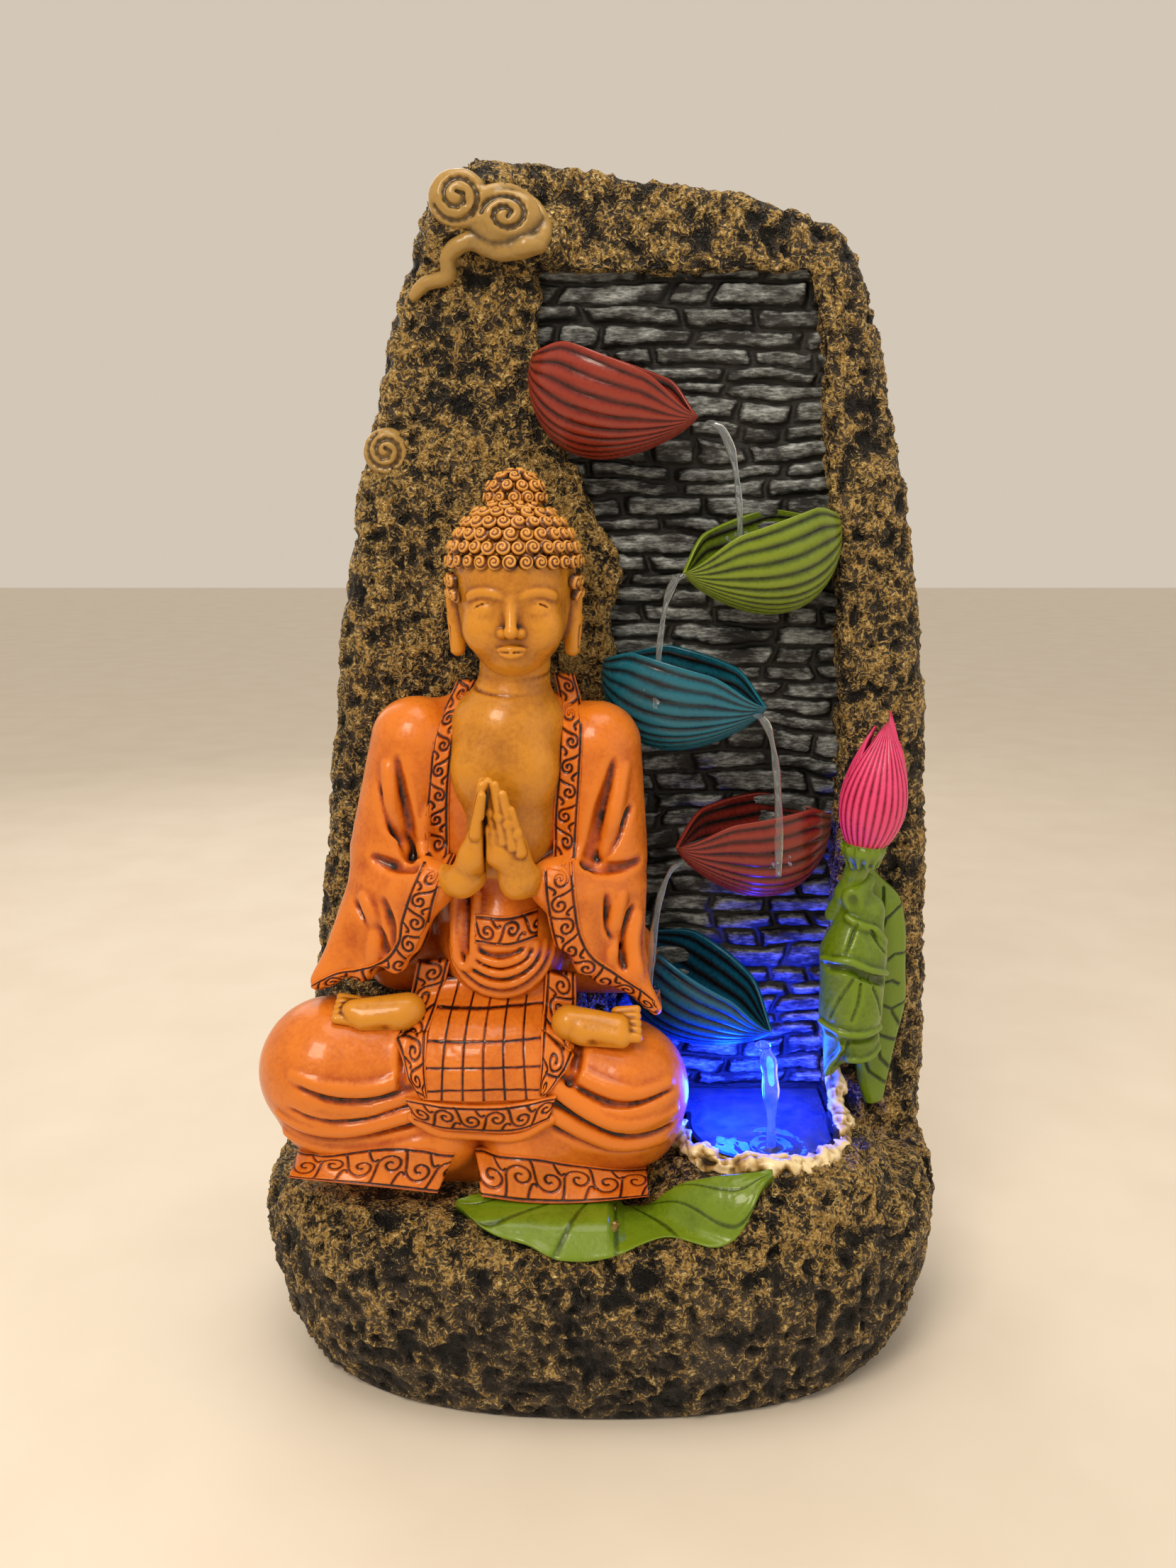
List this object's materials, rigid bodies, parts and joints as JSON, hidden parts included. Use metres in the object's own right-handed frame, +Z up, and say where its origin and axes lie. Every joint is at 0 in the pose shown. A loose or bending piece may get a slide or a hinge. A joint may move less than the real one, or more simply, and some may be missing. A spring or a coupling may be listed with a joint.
{
  "type": "tabletop water fountain",
  "caption": "Cast-resin rock fountain: lotus-petal cups spill in turn down a stone wall into a lit pool beside a seated figure; pump and hatch at the back.",
  "frame": {"origin": "middle of the underside, on the surface the fountain stands on", "axes": "+Z up, +X to the viewer's right, -Y towards the viewer"},
  "size_m": [0.43, 0.24, 0.719],
  "materials": {
    "rock": "satin",
    "rock_gold": "satin",
    "plate": "matte",
    "stone_wall": "satin",
    "basin": "satin",
    "cup_red": "gloss",
    "cup_green": "gloss",
    "cup_teal": "gloss",
    "cup_blue": "gloss",
    "robe": "gloss",
    "skin": "gloss",
    "hair": "gloss",
    "bud": "gloss",
    "leaf": "gloss",
    "pump_plastic": "satin",
    "shaft_ceramic": "polished",
    "magnet": "matte",
    "dial": "satin",
    "rubber": "matte",
    "hose": "gloss",
    "board": "satin",
    "lens": "gloss",
    "cover": "matte"
  },
  "bodies": {
    "root": {"base_shell": "rock", "base_plate": "plate", "backdrop_shell": "rock", "stone_wall": "stone_wall", "pool_basin": "basin", "pool_rim": "rock_gold", "cup_1": "cup_red", "cup_2": "cup_green", "cup_3": "cup_teal", "cup_4": "cup_red", "cup_5": "cup_blue", "figure_legs": "robe", "figure_hem": "robe", "figure_robe": "robe", "figure_chest": "skin", "figure_head": "skin", "figure_hair": "hair", "figure_hands": "skin", "figure_feet": "skin", "figure_apron": "robe", "figure_sash": "robe", "sleeve_cuffs": "robe", "lotus_bud": "bud", "bud_stem": "leaf", "curled_leaf": "leaf", "back_leaf": "leaf", "lily_leaf": "leaf", "cloud_top": "rock_gold", "cloud_side": "rock_gold", "pump_body": "pump_plastic", "pump_cover": "pump_plastic", "pump_shaft": "shaft_ceramic", "pump_feet": "rubber", "riser_hose": "hose", "spout_nozzle": "pump_plastic", "lamp_housing": "pump_plastic", "lamp_board": "board", "lamp_lens": "lens", "junction_box": "pump_plastic", "pump_lead": "rubber", "lamp_lead": "rubber", "cord_gland": "pump_plastic", "gland_nut": "pump_plastic", "hatch_frame": "pump_plastic", "drain_spout": "pump_plastic"},
    "rotor": {"pump_rotor": "magnet"},
    "dial": {"flow_dial": "dial"},
    "cover": {"back_cover": "cover"},
    "plug": {"drain_plug": "rubber"}
  },
  "joints": [
    {"name": "rotor_spin", "type": "hinge", "parent": "root", "child": "rotor", "pos_m": [0.08, 0.075, 0.061], "axis": [1, 0, 0], "continuous": true},
    {"name": "dial_turn", "type": "hinge", "parent": "root", "child": "dial", "pos_m": [0.067, 0.075, 0.061], "axis": [1, 0, 0], "range_deg": [0, 30]},
    {"name": "cover_slide", "type": "slide", "parent": "root", "child": "cover", "axis": [0, 1, 0], "range_m": [0, 0.05]},
    {"name": "plug_slide", "type": "slide", "parent": "root", "child": "plug", "axis": [0, 1, 0], "range_m": [0, 0.03]}
  ]
}
